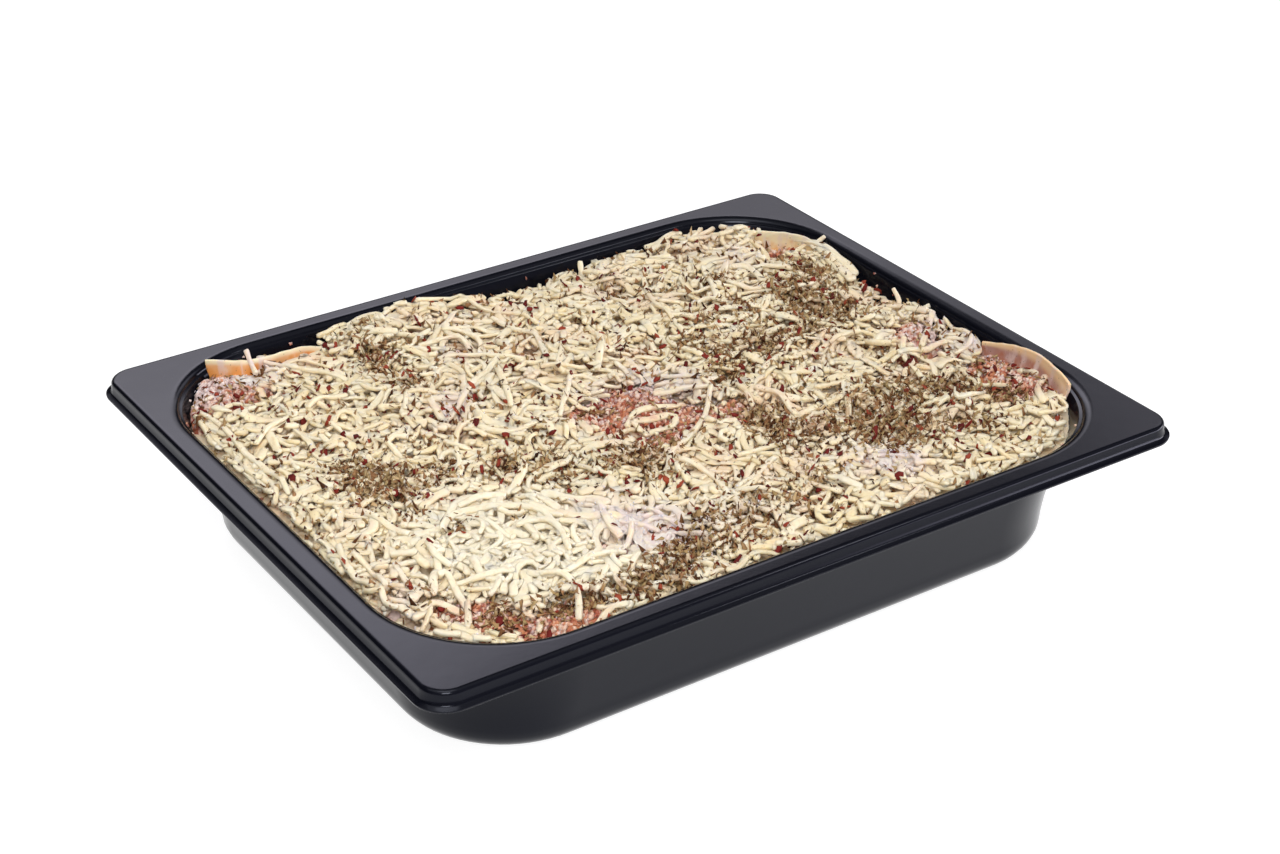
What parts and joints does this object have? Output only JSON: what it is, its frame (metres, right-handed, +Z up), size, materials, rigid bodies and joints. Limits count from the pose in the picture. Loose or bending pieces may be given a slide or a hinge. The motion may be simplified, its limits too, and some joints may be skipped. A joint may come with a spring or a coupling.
{
  "type": "lasagne tray meal",
  "caption": "Ready-to-bake lasagne in a black plastic catering tray with a wide flat rim, topped with grated cheese, herbs and bare patches of meat sauce.",
  "frame": {"origin": "middle of the tray on the surface that it stands on", "axes": "+X along the tray's long side, +Y along its short side, +Z up"},
  "size_m": [0.325, 0.265, 0.0611],
  "materials": {
    "black_plastic": "satin black formed plastic sheet",
    "meat_sauce": "lumpy, lightly frosted",
    "grated_cheese": "soft pale shreds with herbs",
    "pasta": "smooth pale dough with sauce on it"
  },
  "bodies": {
    "root": {"tray": "black_plastic", "meat_sauce_filling": "meat_sauce", "grated_cheese": "grated_cheese", "pasta_sheet_left": "pasta", "pasta_sheet_back": "pasta", "pasta_sheet_right": "pasta"}
  },
  "joints": []
}
